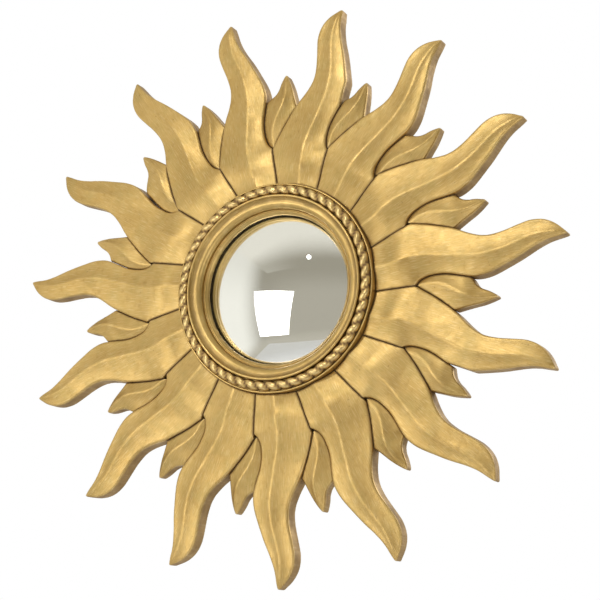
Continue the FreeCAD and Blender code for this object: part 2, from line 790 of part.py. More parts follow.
def sector():
    """The wedge between the two straight seams that trims a large ray's root."""
    gap = size("seam_gap") / 2
    front = ray_plane - 2 * size("large_height")

    def at(seam, shift):
        return Vector(seam[0] * size("large_tip_radius"), front, seam[1] * size("large_breadth") + shift)

    turn = FreeCAD.Rotation(Vector(0, 1, 0), -pitch)
    corners = [
        at(seam_inner, gap),
        at(seam_outer, gap),
        turn.multVec(at(seam_outer, -gap)),
        turn.multVec(at(seam_inner, -gap)),
    ]
    face = Part.Face(Part.makePolygon(corners + corners[:1]))
    return face.extrude(Vector(0, 3 * size("large_height"), 0))


def turn_of(turns, index):
    return turns[index % len(turns)]


hub_clearance = Part.makeCylinder(
    size("hub_radius") + size("fit_gap"),
    3 * size("large_height"),
    Vector(0, ray_plane - 2 * size("large_height"), 0),
    Vector(0, 1, 0),
)
sector_wedge = sector()
large_rays = []
small_rays = []
for index, angle in enumerate(large_angles):
    blank = about_axis(large_blank, angle + turn_of(large_turns, index))
    holes = set_of(main_hole.Shape, large_places[index])
    ray = blank.common(about_axis(sector_wedge, angle)).cut([hub_clearance] + holes)
    large_rays.append(feature(f"large_ray_{index + 1:02d}", ray))
for index, angle in enumerate(small_angles):
    neighbours = [(index + step) % len(large_angles) for step in (0, 1)]
    blank = about_axis(small_blank, angle + turn_of(small_turns, index))
    clearances = [
        about_axis(large_clearance, large_angles[number] + turn_of(large_turns, number))
        for number in neighbours
    ]
    ray = blank.cut(clearances + [placed(main_hole.Shape, *small_places[index])])
    small_rays.append(feature(f"small_ray_{index + 1:02d}", ray))

# ---- the separate pieces ----

doc.recompute()
turn_buttons = [
    feature(f"turn_button_{index + 1}", about_axis(button_pattern.Shape, angle))
    for index, angle in enumerate(button_angles)
]

sub_parts = (
    [hub_moulding, rope_moulding]
    + large_rays
    + small_rays
    + [convex_glass, silvering, glass_gasket, packing_ring, backboard, backing_ring]
    + [hub_screw_set, large_screw_set, small_screw_set]
    + turn_buttons
    + [button_screw_set, hanger_plate_item, hanger_ring, hanger_screw_set]
)

doc.recompute()
for item in doc.Objects:
    if "Invalid" in item.State or "Error" in item.State:
        raise RuntimeError(f"{item.Label} failed: {item.State}")
for item in sub_parts:
    if item.Shape.isNull() or not item.Shape.isValid():
        raise RuntimeError(f"{item.Label} has no valid shape")
for item in sub_parts:
    item.Shape.exportStep(f"parts/{item.Label}.step")
print(len(sub_parts), "pieces written")
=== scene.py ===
import json
import math

import bpy
import numpy as np
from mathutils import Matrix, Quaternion, Vector
from mathutils.bvhtree import BVHTree

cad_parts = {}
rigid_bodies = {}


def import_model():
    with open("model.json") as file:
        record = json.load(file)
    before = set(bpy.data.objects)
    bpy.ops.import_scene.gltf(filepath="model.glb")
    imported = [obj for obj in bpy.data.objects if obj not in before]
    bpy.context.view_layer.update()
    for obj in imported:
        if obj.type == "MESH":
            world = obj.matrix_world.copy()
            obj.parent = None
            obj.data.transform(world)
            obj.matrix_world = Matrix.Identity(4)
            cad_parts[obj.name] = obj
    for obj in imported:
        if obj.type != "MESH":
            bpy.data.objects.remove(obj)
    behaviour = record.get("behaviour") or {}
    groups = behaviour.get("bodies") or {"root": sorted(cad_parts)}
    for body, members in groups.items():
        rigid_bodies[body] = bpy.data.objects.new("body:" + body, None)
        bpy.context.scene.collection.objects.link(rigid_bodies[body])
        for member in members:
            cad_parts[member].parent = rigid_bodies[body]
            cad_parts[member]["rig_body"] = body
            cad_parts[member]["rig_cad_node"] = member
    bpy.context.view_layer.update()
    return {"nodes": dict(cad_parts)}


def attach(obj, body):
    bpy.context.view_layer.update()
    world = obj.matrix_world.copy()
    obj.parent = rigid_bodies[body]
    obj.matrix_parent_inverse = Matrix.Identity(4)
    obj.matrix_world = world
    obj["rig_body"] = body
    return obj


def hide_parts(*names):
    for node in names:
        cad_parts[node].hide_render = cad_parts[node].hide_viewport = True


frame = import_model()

mm = 0.001
nodes = frame["nodes"]
bpy.context.scene.view_settings.view_transform = "Standard"


# ---- camera ----

camera = {
    "aim": (0, -24.5 * mm, 0),
    "distance": 1712.5 * mm,
    "azimuth": 24.47,
    "elevation": -12.24,
    "focalPixels": 1680.7,
    "imagePixels": 600,
    "axisPixel": (281.8, 291.2),  # where the lens axis meets the picture, from its top left corner
    "sensorWidth": 36,
    "clipEnd": 50,
}


def directionOf(azimuth, elevation):
    # from the mirror towards azimuth (0 is straight in front, 90 is to its right) and elevation
    a, e = math.radians(azimuth), math.radians(elevation)
    return Vector((math.sin(a) * math.cos(e), -math.cos(a) * math.cos(e), math.sin(e)))


def placeCamera(s):
    away = directionOf(s["azimuth"], s["elevation"])
    bpy.ops.object.camera_add(location=Vector(s["aim"]) + away * s["distance"])
    made = bpy.context.object
    made.name = "photoCamera"
    made.rotation_euler = (-away).to_track_quat("-Z", "Y").to_euler()
    made.data.sensor_width = s["sensorWidth"]
    made.data.lens = s["sensorWidth"] * s["focalPixels"] / s["imagePixels"]
    middle = s["imagePixels"] / 2
    made.data.shift_x = (middle - s["axisPixel"][0]) / s["imagePixels"]
    made.data.shift_y = (s["axisPixel"][1] - middle) / s["imagePixels"]
    made.data.clip_end = s["clipEnd"]
    bpy.context.scene.camera = made


placeCamera(camera)
print("camera placed")


# ---- helpers for materials and for selecting ----

def deselectAll():
    if bpy.context.object and bpy.context.object.mode != "OBJECT":
        bpy.ops.object.mode_set(mode="OBJECT")
    bpy.ops.object.select_all(action="DESELECT")


def makeActive(piece):
    deselectAll()
    piece.select_set(True)
    bpy.context.view_layer.objects.active = piece


def newMaterial(name):
    made = bpy.data.materials.new(name)
    made.use_nodes = True
    made.node_tree.nodes.clear()
    return made, made.node_tree


def feed(tree, socket, value):
    # a socket is linked to another node's socket, or holds a constant
    if isinstance(value, bpy.types.NodeSocket):
        tree.links.new(value, socket)
    else:
        socket.default_value = value


def add(tree, kind, **settings):
    # a shader node; settings are its properties, and keys that start with in_ are its sockets
    node = tree.nodes.new(kind)
    for key, value in settings.items():
        if key.startswith("in_"):
            feed(tree, node.inputs[key[3:].replace("_", " ")], value)
        else:
            setattr(node, key, value)
    return node


def maths(tree, operation, *values, clamp=False):
    node = add(tree, "ShaderNodeMath", operation=operation, use_clamp=clamp)
    for index, value in enumerate(values):
        feed(tree, node.inputs[index], value)
    return node.outputs[0]


def mixColour(tree, factor, first, second):
    node = add(tree, "ShaderNodeMix", data_type="RGBA")
    for index, value in ((0, factor), (6, first), (7, second)):
        feed(tree, node.inputs[index], value)
    return node.outputs[2]


def spread(tree, value, low, high, toLow=0.0, toHigh=1.0, kind="LINEAR"):
    return add(
        tree, "ShaderNodeMapRange", interpolation_type=kind, in_Value=value,
        in_From_Min=low, in_From_Max=high, in_To_Min=toLow, in_To_Max=toHigh,
    ).outputs[0]


def easing(tree, value, low, high):
    return spread(tree, value, low, high, kind="SMOOTHSTEP")


def noise(tree, vector, scale, detail=3.0, rough=0.5):
    return add(
        tree, "ShaderNodeTexNoise", in_Vector=vector, in_Scale=scale, in_Detail=detail, in_Roughness=rough
    ).outputs["Fac"]


def objectPlace(tree):
    return add(tree, "ShaderNodeTexCoord").outputs["Object"]


def stretched(tree, vector, scale):
    return add(tree, "ShaderNodeMapping", in_Vector=vector, in_Scale=scale).outputs[0]


def attributeOf(tree, name):
    return add(tree, "ShaderNodeAttribute", attribute_name=name).outputs["Fac"]


def bumpOf(tree, height, strength, distance):
    return add(
        tree, "ShaderNodeBump", in_Strength=strength, in_Distance=distance, in_Height=height
    ).outputs[0]


def showSurface(tree, kind, **settings):
    surface = add(tree, kind, **settings)
    add(tree, "ShaderNodeOutputMaterial", in_Surface=surface.outputs[0])


# ---- studio ----

studio = {
    "floorDrop": 1.5,
    "floorSize": 14,
    "floorColour": (0.86, 0.85, 0.84, 1),
    "skyStrength": 0.85,  # how much the plain white surroundings light matt surfaces
}
room = {
    "low": (-2.6, -4.6, -1.5),
    "high": (3.4, 0.35, 1.9),
    "onPlane": 0.01,  # how near to a wall's plane counts as on it
    # the walls glow with painted light: a lit wall colour, painted shade towards the left corner and the
    # ceiling, painted window light on the left wall, a paler painted ceiling and a painted floor
    "wallPaintedLight": (0.47, 0.435, 0.365, 1),
    "cornerPaintedShade": (0.41, 0.38, 0.32, 1),
    "cornerStart": -1.4,  # x from which the painted light turns into painted shade towards the left wall
    "topPaintedShade": (0.37, 0.34, 0.275, 1),
    "topStart": 0.5,  # z from which it turns into painted shade towards the ceiling
    "leftPaintedWindowLight": (1.0, 0.97, 0.89, 1),
    "leftSpan": (-4.4, -2.4),  # y over which the left wall turns pale with painted window light
    "leftFadeStart": 0.2,  # z from which that fades
    "leftFadeEnd": 0.75,  # what is left of it at the ceiling
    "ceilingPaintedLight": (0.86, 0.82, 0.73, 1),
    "ceilingSpan": (-3.9, -1.9),  # y over which the ceiling turns pale with painted light
    "ceilingSideStart": -0.6,  # x from which it turns paler to the left
    "ceilingSideShare": 0.25,
    "floorPaintedLight": (0.56, 0.52, 0.44, 1),
    "floorStart": -0.9,  # z from which the walls turn into the floor
}
lights = {
    # aim (azimuth, elevation), distance, power, shape, width, height, turns about its own Y, X and Z
    "softbox": ((-24.7, -3.3), 2.5, 14, "RECTANGLE", 0.907, 1.34, (7.2, -42.2, -7.1)),
    "ceilingLamp": ((-4.5, 27.8), 2.3, 8, "DISK", 0.08, 0.08, (0, 0, 0)),
    "sideFill": ((40, -16), 3.0, 9, "SQUARE", 1.5, 1.5, (0, 0, 0)),
    "backFill": ((150, 20), 3.2, 22, "SQUARE", 1.6, 1.6, (0, 0, 0)),
}


def makeWorld(s):
    # white to the camera and in reflections, a little dimmer as light on matt surfaces
    world = bpy.data.worlds.new("paleStudio")
    bpy.context.scene.world = world
    world.use_nodes = True
    tree = world.node_tree
    tree.nodes.clear()
    path = add(tree, "ShaderNodeLightPath").outputs
    shown = maths(tree, "MAXIMUM", path["Is Camera Ray"], path["Is Glossy Ray"])
    shown = maths(tree, "MAXIMUM", shown, path["Is Transmission Ray"])
    strength = spread(tree, shown, 0, 1, s["skyStrength"], 1.0)
    white = add(tree, "ShaderNodeBackground", in_Color=(1, 1, 1, 1), in_Strength=strength)
    add(tree, "ShaderNodeOutputWorld", in_Surface=white.outputs[0])


def makeFloor(s):
    bpy.ops.mesh.primitive_plane_add(size=s["floorSize"], location=(0, 0, -s["floorDrop"]))
    floor = bpy.context.object
    floor.name = "studioFloor"
    material, tree = newMaterial("paleFloor")
    showSurface(tree, "ShaderNodeBsdfDiffuse", in_Color=s["floorColour"])
    floor.data.materials.append(material)


def paintedRoomLight(tree, s, low, high):
    # each wall's glow is painted light: painted shade into the corner and under the ceiling, painted window
    # light on the left wall, paler painted light on the ceiling and the floor's painted light at the bottom
    split = add(tree, "ShaderNodeSeparateXYZ", in_Vector=objectPlace(tree)).outputs
    x, y, z = split["X"], split["Y"], split["Z"]
    onLeft = maths(tree, "LESS_THAN", x, low.x + s["onPlane"])
    onTop = maths(tree, "GREATER_THAN", z, high.z - s["onPlane"])
    pale = maths(tree, "MULTIPLY", onLeft, easing(tree, y, *s["leftSpan"]))
    fade = spread(tree, easing(tree, z, s["leftFadeStart"], high.z), 0, 1, 1.0, s["leftFadeEnd"])
    nearby = maths(
        tree, "MULTIPLY_ADD", easing(tree, x, s["ceilingSideStart"], low.x), s["ceilingSideShare"],
        easing(tree, y, *s["ceilingSpan"]), clamp=True,
    )
    paint = mixColour(tree, easing(tree, x, s["cornerStart"], low.x), s["wallPaintedLight"], s["cornerPaintedShade"])
    paint = mixColour(tree, easing(tree, z, s["topStart"], high.z), paint, s["topPaintedShade"])
    paint = mixColour(tree, maths(tree, "MULTIPLY", pale, fade), paint, s["leftPaintedWindowLight"])
    paint = mixColour(tree, maths(tree, "MULTIPLY", onTop, nearby), paint, s["ceilingPaintedLight"])
    return mixColour(tree, easing(tree, z, s["floorStart"], low.z), paint, s["floorPaintedLight"])


def makeRoom(s):
    # walls glowing with painted light that only the reflections see: the mirror shows a pale empty room, with
    # painted window light on the left wall and painted shade in the corner and under the ceiling
    low, high = Vector(s["low"]), Vector(s["high"])
    bpy.ops.mesh.primitive_cube_add(size=1, location=(low + high) / 2)
    walls = bpy.context.object
    walls.name = "studioWalls"
    walls.scale = high - low
    bpy.ops.object.transform_apply(location=True, rotation=False, scale=True)
    bpy.ops.object.mode_set(mode="EDIT")
    bpy.ops.mesh.select_all(action="DESELECT")
    bpy.ops.object.mode_set(mode="OBJECT")
    for face in walls.data.polygons:
        face.select = face.normal.y > 0.5  # the wall that the mirror hangs on
    bpy.ops.object.mode_set(mode="EDIT")
    bpy.ops.mesh.delete(type="FACE")
    bpy.ops.object.mode_set(mode="OBJECT")
    material, tree = newMaterial("paintedRoomLight")
    showSurface(tree, "ShaderNodeEmission", in_Color=paintedRoomLight(tree, s, low, high))
    walls.data.materials.append(material)
    walls.visible_camera = False
    walls.visible_diffuse = False
    walls.visible_shadow = False


def makeLight(name, aim, distance, power, shape, width, height, turns):
    away = directionOf(*aim)
    bpy.ops.object.light_add(type="AREA", location=away * distance)
    light = bpy.context.object
    light.name = name
    facing = (-away).to_track_quat("-Z", "Y")
    for axis, turn in zip(((0, 1, 0), (1, 0, 0), (0, 0, 1)), turns):
        facing = facing @ Quaternion(axis, math.radians(turn))
    light.rotation_euler = facing.to_euler()
    light.data.shape = shape
    light.data.size = width
    light.data.size_y = height
    light.data.energy = power
    light.visible_camera = False


makeWorld(studio)
makeFloor(studio)
makeRoom(room)
for lightName, lightSettings in lights.items():
    makeLight(lightName, *lightSettings)
print("studio set")


# ---- gilding ----

gilding = {
    "leaf": (0.55, 0.374, 0.132, 1),
    "shade": (0.38, 0.238, 0.068, 1),
    "green": (0.435, 0.325, 0.115, 1),
    # pale gold for random streaks, and on raised edges partly real wear and partly a painted highlight
    "worn": (0.86, 0.70, 0.40, 1),
    # a dirt colour for the specks, and also painted shade in hollows, seams and recesses
    "grime": (0.15, 0.075, 0.024, 1),
    "roughness": 0.41,
    "burnished": 0.32,
    "grain": (9, 160, 1),  # how fine the streaks are along and across a carved piece
    "rayStreaks": 0.5,
    "hubStreaks": 0.3,
    "patchCover": 0.5,
    "cloudCover": 0.6,
    "smudgeCover": 0.55,
    "wearAndHighlightCover": 0.8,
    "speckCover": 0.35,
    "ragged": 0.12,  # how far the clouds shift the border of the grime and painted shade
    "polish": 0.10,  # how much smoother rubbed gold is
    "dulling": 0.3,  # how much rougher the grime and painted shade are
    "metal": (0.96, 0.3),  # of clean gold and of full grime with painted shade
    "bumpStrength": 0.35,
    "bumpDepth": 0.6 * mm,
}


def giltMaterial(name, s, roughness, streakCover):
    material, tree = newMaterial(name)
    place = objectPlace(tree)
    carving = add(tree, "ShaderNodeUVMap", uv_map="carving").outputs[0]
    worn = attributeOf(tree, "worn")
    patches = noise(tree, place, 19, 4)
    cloud = noise(tree, place, 52, 6, 0.65)
    smudges = noise(tree, place, 130, 4, 0.6)
    streaks = noise(tree, stretched(tree, carving, s["grain"]), 1.0, 3)
    specks = noise(tree, place, 420, 2)
    colour = mixColour(tree, spread(tree, patches, 0.45, 0.7, 0, s["patchCover"]), s["leaf"], s["shade"])
    colour = mixColour(tree, spread(tree, cloud, 0.45, 0.7, 0, s["cloudCover"]), colour, s["green"])
    colour = mixColour(tree, spread(tree, smudges, 0.56, 0.74, 0, s["smudgeCover"]), colour, s["shade"])
    colour = mixColour(tree, spread(tree, streaks, 0.5, 0.8, 0, streakCover), colour, s["worn"])
    # raised edges turn pale: partly wear, partly a painted highlight
    colour = mixColour(tree, spread(tree, worn, 0.1, 0.9, 0, s["wearAndHighlightCover"]), colour, s["worn"])
    colour = mixColour(tree, spread(tree, specks, 0.68, 0.76, 0, s["speckCover"]), colour, s["grime"])
    border = spread(tree, cloud, 0.3, 0.7, -s["ragged"], s["ragged"])
    # grime together with painted shade in hollows, seams and recesses, from the pieces' stored masks
    grimeAndShadeMask = spread(tree, maths(tree, "ADD", attributeOf(tree, "grime"), border), 0.15, 0.85)
    gloss = spread(tree, cloud, 0.3, 0.7, roughness - 0.05, roughness + 0.07)
    polished = maths(tree, "MULTIPLY_ADD", worn, -s["polish"], gloss)
    relief = maths(tree, "MULTIPLY_ADD", streaks, 0.5, cloud)
    showSurface(
        tree, "ShaderNodeBsdfPrincipled", in_Base_Color=mixColour(tree, grimeAndShadeMask, colour, s["grime"]),
        in_Metallic=spread(tree, grimeAndShadeMask, 0.2, 1.0, *s["metal"]),
        in_Roughness=maths(tree, "MULTIPLY_ADD", grimeAndShadeMask, s["dulling"], polished, clamp=True),
        in_Normal=bumpOf(tree, relief, s["bumpStrength"], s["bumpDepth"]),
    )
    return material


rayGilt = giltMaterial("rayGilt", gilding, gilding["roughness"], gilding["rayStreaks"])
hubGilt = giltMaterial("hubGilt", gilding, gilding["burnished"], gilding["hubStreaks"])
print("gilding mixed")


# ---- shaping helpers ----

weld = 0.005 * mm  # points nearer than this are merged


def camelName(nodeName):
    first, *rest = nodeName.split("_")
    return first + "".join(word.title() for word in rest)


def copyOfNode(nodeName):
    # a merged copy of a CAD node's mesh that can be shaped
    piece = nodes[nodeName].copy()
    piece.data = nodes[nodeName].data.copy()
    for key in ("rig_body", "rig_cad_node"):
        if key in piece:
            del piece[key]
    piece.parent = None
    piece.name = piece.data.name = camelName(nodeName)
    bpy.context.scene.collection.objects.link(piece)
    makeActive(piece)
    bpy.ops.object.mode_set(mode="EDIT")
    bpy.ops.mesh.select_all(action="SELECT")
    bpy.ops.mesh.remove_doubles(threshold=weld)
    bpy.ops.object.mode_set(mode="OBJECT")
    return piece


def applyModifier(piece, kind, **settings):
    modifier = piece.modifiers.new(kind.title(), kind)
    for key, value in settings.items():
        setattr(modifier, key, value)
    makeActive(piece)
    bpy.ops.object.modifier_apply(modifier=modifier.name)


def toolMarks(size):
    texture = bpy.data.textures.new("toolMarks", "CLOUDS")
    texture.noise_scale = size
    texture.noise_depth = 1
    return texture


def vertexValues(piece, key):
    found = np.empty(len(piece.data.vertices) * 3)
    piece.data.vertices.foreach_get(key, found)
    return found.reshape(-1, 3)


def pointsOf(piece):
    return vertexValues(piece, "co")


def edgeEnds(piece):
    ends = np.empty(len(piece.data.edges) * 2, dtype=np.int64)
    piece.data.edges.foreach_get("vertices", ends)
    return ends.reshape(-1, 2)


def bulge(piece, passes=2):
    # how much each point stands out from its neighbours (edges are positive, hollows negative)
    points, normals = pointsOf(piece), vertexValues(piece, "normal")
    first, second = edgeEnds(piece).T
    count = len(points)
    neighbours = np.maximum(np.bincount(first, minlength=count) + np.bincount(second, minlength=count), 1)

    def meanOver(fromFirst, fromSecond):
        return (np.bincount(first, fromFirst, count) + np.bincount(second, fromSecond, count)) / neighbours

    step = points[first] - points[second]
    length = np.linalg.norm(step, axis=1) + 1e-9
    stands = meanOver(
        np.einsum("ij,ij->i", step, normals[first]) / length,
        -np.einsum("ij,ij->i", step, normals[second]) / length,
    )
    for _ in range(passes):
        stands = (stands + meanOver(stands[second], stands[first])) / 2
    return stands


def storeAttribute(piece, name, values):
    layer = piece.data.attributes.new(name, "FLOAT", "POINT")
    layer.data.foreach_set("value", np.clip(values, 0, 1).astype(np.float32))


def storeCarvingMap(piece, u, v):
    layer = piece.data.uv_layers.new(name="carving")
    corners = np.empty(len(piece.data.loops), dtype=np.int64)
    piece.data.loops.foreach_get("vertex_index", corners)
    layer.data.foreach_set("uv", np.stack([u[corners], v[corners]], 1).astype(np.float32).ravel())


def treeOf(nodeNames):
    points, faces = [], []
    for name in nodeNames:
        start = len(points)
        mesh = nodes[name].data
        points.extend(vertex.co.copy() for vertex in mesh.vertices)
        faces.extend([start + index for index in face.vertices] for face in mesh.polygons)
    return BVHTree.FromPolygons(points, faces)


def closeness(piece, tree, reach):
    # 1 where another piece touches, 0 where it is further off than reach
    near = np.zeros(len(piece.data.vertices))
    for index, point in enumerate(pointsOf(piece)):
        gap = tree.find_nearest(point, reach)[3]
        if gap is not None:
            near[index] = 1 - gap / reach
    return near


def finishPiece(piece, material, nodeName, body="mirror"):
    piece.data.materials.clear()
    piece.data.materials.append(material)
    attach(piece, body)
    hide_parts(nodeName)


# ---- flame rays ----

rays = {
    "number": 15,
    "back": -14 * mm,
    "largeEdge": -34 * mm,
    "smallEdge": -29 * mm,
    "voxel": 0.8 * mm,
    "smoothings": 8,
    "smoothing": 0.5,
    "toolMarkSize": 11 * mm,
    "toolMarkDepth": 0.2 * mm,
    "gesso": 0.1 * mm,
    "keep": 0.5,
    "grainScale": 10,
    # painted shade along the seams where other pieces come near, and on the side walls deeper back
    "seamReach": 3.2 * mm,
    "seamFade": 1.6,
    "sideShade": 0.58,
    "sideShadeRise": 2.2,
    "wearAndHighlightPasses": 4,
    "wearAndHighlightGain": 6,
    "wearAndHighlightStart": 0.3,
}
rayMarks = toolMarks(rays["toolMarkSize"])


def carvedRay(nodeName, neighbours, edge, s):
    piece = copyOfNode(nodeName)
    applyModifier(piece, "REMESH", mode="VOXEL", voxel_size=s["voxel"])
    applyModifier(piece, "SMOOTH", factor=s["smoothing"], iterations=s["smoothings"])
    applyModifier(
        piece, "DISPLACE", texture=rayMarks, texture_coords="LOCAL", strength=s["toolMarkDepth"],
        mid_level=0.5 - s["gesso"] / s["toolMarkDepth"],
    )
    applyModifier(piece, "DECIMATE", ratio=s["keep"])
    bpy.ops.object.shade_smooth()
    points, normals = pointsOf(piece), vertexValues(piece, "normal")
    middle = points.mean(axis=0)
    angle = math.atan2(middle[2], middle[0])
    along = points[:, 0] * math.cos(angle) + points[:, 2] * math.sin(angle)
    across = points[:, 2] * math.cos(angle) - points[:, 0] * math.sin(angle)
    storeCarvingMap(piece, along * s["grainScale"] + angle, across * s["grainScale"] + angle)
    depth = np.clip((points[:, 1] - edge) / (s["back"] - edge), 0, 1)
    # raised edges towards the front are marked pale: partly wear, partly a painted highlight
    rubbed = np.clip(bulge(piece, s["wearAndHighlightPasses"]) * s["wearAndHighlightGain"] - s["wearAndHighlightStart"], 0, 1)
    storeAttribute(piece, "worn", rubbed * (1 - depth))
    # painted shade near the neighbouring pieces and on the side walls, darker further back
    seam = closeness(piece, treeOf(neighbours), s["seamReach"]) ** s["seamFade"]
    side = (1 - np.abs(normals[:, 1])) * np.clip(depth * s["sideShadeRise"], 0, s["sideShade"])
    storeAttribute(piece, "grime", np.maximum(seam, side))
    finishPiece(piece, rayGilt, nodeName)


def carveRays(s):
    def numbered(kind, number):
        return f"{kind}_{(number - 1) % s['number'] + 1:02d}"

    for number in range(1, s["number"] + 1):
        large, small = numbered("large_ray", number), numbered("small_ray", number)
        before, after = numbered("large_ray", number - 1), numbered("large_ray", number + 1)
        beside = [before, after, small, numbered("small_ray", number - 1), "hub_moulding"]
        carvedRay(large, beside, s["largeEdge"], s)
        carvedRay(small, [large, after], s["smallEdge"], s)


carveRays(rays)
print("rays carved")


# ---- hub moulding and rope ----

hub = {
    # radii and heights of the section in millimetres
    "backY": -14.0,
    "rabbetRadius": 82.5,
    "lipBackY": -34.0,
    "sightRadius": 77.0,
    "lipFrontY": -37.5,
    "beadLandRadius": 79.4,
    "beadLandY": -39.3,
    "fineBead": 0.7,
    "quirkY": -40.9,
    "quarterRound": 6.1,
    "coveDrop": 4.2,
    "landY": -50.3,
    "innerBead": 1.5,
    "channelInner": 95.6,
    "channelOuter": 105.8,
    "channelY": -44.5,
    "wallRadius": 108.0,
    "wallBeadY": -45.8,
    "steps": 360,
    "markSize": 16,
    "markDepth": 0.25,
    "markLevel": 0.9,  # near 1 the marks are cut in and hardly stand out
    "smoothAngle": 50,
    "wearAndHighlightGain": 2.2,
    "wearAndHighlightStart": 0.15,
    # painted shade in hollows, on the outer wall towards the back, behind the lip, under the rope and in the
    # cove
    "hollowGain": 3,
    "hollowShade": 0.5,
    "wallShade": 0.75,
    "wallShadeY": -30,  # the outer wall takes full painted shade behind this, and none the reach in front of it
    "wallShadeReach": 15,
    "lipShade": 1.0,
    "channelShade": 0.8,
    "coveShade": 0.4,
    "coveRadius": 90.3,
    "coveReach": 2.5,
    "coveFull": 1.3,
}


def arcPoints(centre, radius, start, end, number):
    made = []
    for index in range(number + 1):
        angle = math.radians(start + (end - start) * index / number)
        made.append((centre[0] + radius * math.cos(angle), centre[1] + radius * math.sin(angle)))
    return made


def linePoints(start, end, number):
    # from start to just before end
    (r, y), (rEnd, yEnd) = start, end
    return [(r + (rEnd - r) * i / number, y + (yEnd - y) * i / number) for i in range(number)]


def hubSection(s):
    # (radius, y) in millimetres, from the back of the rabbet round the front to the outer wall
    fine = s["fineBead"]
    quirk = s["beadLandRadius"] + 4 * fine
    roundTop = quirk + s["quarterRound"]
    topY = s["quirkY"] - s["quarterRound"]
    beadStart = s["channelInner"] - 2 * s["innerBead"]
    half = (s["wallRadius"] - s["channelOuter"]) / 2
    section = linePoints((s["rabbetRadius"], s["backY"]), (s["rabbetRadius"], s["lipBackY"]), 6)
    section += linePoints((s["rabbetRadius"], s["lipBackY"]), (s["sightRadius"], s["lipBackY"]), 2)
    lipFace = (s["sightRadius"] + 0.1, s["lipFrontY"] + 0.3)
    section += linePoints((s["sightRadius"], s["lipBackY"]), lipFace, 3)
    section += linePoints((s["sightRadius"] + 0.35, s["lipFrontY"]), (s["beadLandRadius"], s["beadLandY"]), 3)
    section += arcPoints((s["beadLandRadius"] + fine, s["beadLandY"]), fine, 180, 355, 7)
    section += arcPoints((s["beadLandRadius"] + 3 * fine, s["beadLandY"]), fine, 185, 360, 7)
    section += arcPoints((roundTop, s["quirkY"]), s["quarterRound"], 180, 268, 16)
    section += arcPoints((roundTop + 0.2, topY - s["coveDrop"]), s["coveDrop"], 88, 14, 12)
    section += arcPoints((beadStart + s["innerBead"], s["landY"]), s["innerBead"], 182, 358, 10)
    section += linePoints((s["channelInner"], s["landY"] + 0.4), (s["channelInner"], s["channelY"]), 4)
    section += linePoints((s["channelInner"], s["channelY"]), (s["channelOuter"], s["channelY"]), 5)
    section += linePoints((s["channelOuter"], s["channelY"]), (s["channelOuter"], s["wallBeadY"]), 2)
    section += arcPoints((s["wallRadius"] - half, s["wallBeadY"]), half, 180, 360, 10)
    section += linePoints((s["wallRadius"], s["wallBeadY"] + 0.5), (s["wallRadius"], s["backY"]), 10)
    section += linePoints((s["wallRadius"], s["backY"]), (s["rabbetRadius"], s["backY"]), 4)
    return [(radius * mm, y * mm) for radius, y in section]


def turnedRing(name, section, steps):
    # a closed section at +X, spun once round the mirror's axis
    mesh = bpy.data.meshes.new(name)
    points = [(radius, y, 0) for radius, y in section]
    mesh.from_pydata(points, [(i, (i + 1) % len(points)) for i in range(len(points))], [])
    piece = bpy.data.objects.new(name, mesh)
    bpy.context.scene.collection.objects.link(piece)
    makeActive(piece)
    bpy.ops.object.mode_set(mode="EDIT")
    bpy.ops.mesh.select_all(action="SELECT")
    bpy.ops.mesh.spin(steps=steps, angle=math.radians(360), center=(0, 0, 0), axis=(0, 1, 0))
    bpy.ops.mesh.select_all(action="SELECT")
    bpy.ops.mesh.remove_doubles(threshold=weld)
    bpy.ops.mesh.normals_make_consistent(inside=False)
    bpy.ops.object.mode_set(mode="OBJECT")
    return piece


def roundPlaces(points):
    # each point's distance from the mirror's axis, and its angle round it
    return np.hypot(points[:, 0], points[:, 2]), np.arctan2(points[:, 2], points[:, 0])


def storeRoundMap(piece):
    points = pointsOf(piece)
    radius, angle = roundPlaces(points)
    storeCarvingMap(piece, angle, radius * rays["grainScale"] + points[:, 1] * rays["grainScale"])


def turnHub(s):
    piece = turnedRing("hubMoulding", hubSection(s), s["steps"])
    storeRoundMap(piece)
    points = pointsOf(piece)
    radius, y = roundPlaces(points)[0] / mm, points[:, 1] / mm
    stands = bulge(piece)
    slack = 0.1
    wall = np.clip(1 + (y - s["wallShadeY"]) / s["wallShadeReach"], 0, 1) * (radius > s["wallRadius"] - 1)
    lip = (radius > s["sightRadius"] + 0.5) & (radius < s["rabbetRadius"] + 0.5) & (y > s["lipBackY"] - slack)
    channel = (radius > s["channelInner"] + slack) & (radius < s["channelOuter"] - slack)
    cove = np.clip(s["coveFull"] - np.abs(radius - s["coveRadius"]) / s["coveReach"], 0, 1)
    # raised edges are marked pale: partly wear, partly a painted highlight
    storeAttribute(piece, "worn", np.clip(stands * s["wearAndHighlightGain"] - s["wearAndHighlightStart"], 0, 1))
    # painted shade in hollows, on the back of the outer wall, behind the lip, in the rope's channel and in
    # the cove
    storeAttribute(piece, "grime", np.maximum.reduce([
        np.clip(-stands * s["hollowGain"], 0, 1) * s["hollowShade"],
        wall * s["wallShade"], lip * s["lipShade"], channel * s["channelShade"], cove * s["coveShade"],
    ]))
    applyModifier(
        piece, "DISPLACE", texture=toolMarks(s["markSize"] * mm), texture_coords="LOCAL",
        strength=s["markDepth"] * mm, mid_level=s["markLevel"],
    )
    bpy.ops.object.shade_smooth_by_angle(angle=math.radians(s["smoothAngle"]))
    finishPiece(piece, hubGilt, "hub_moulding")


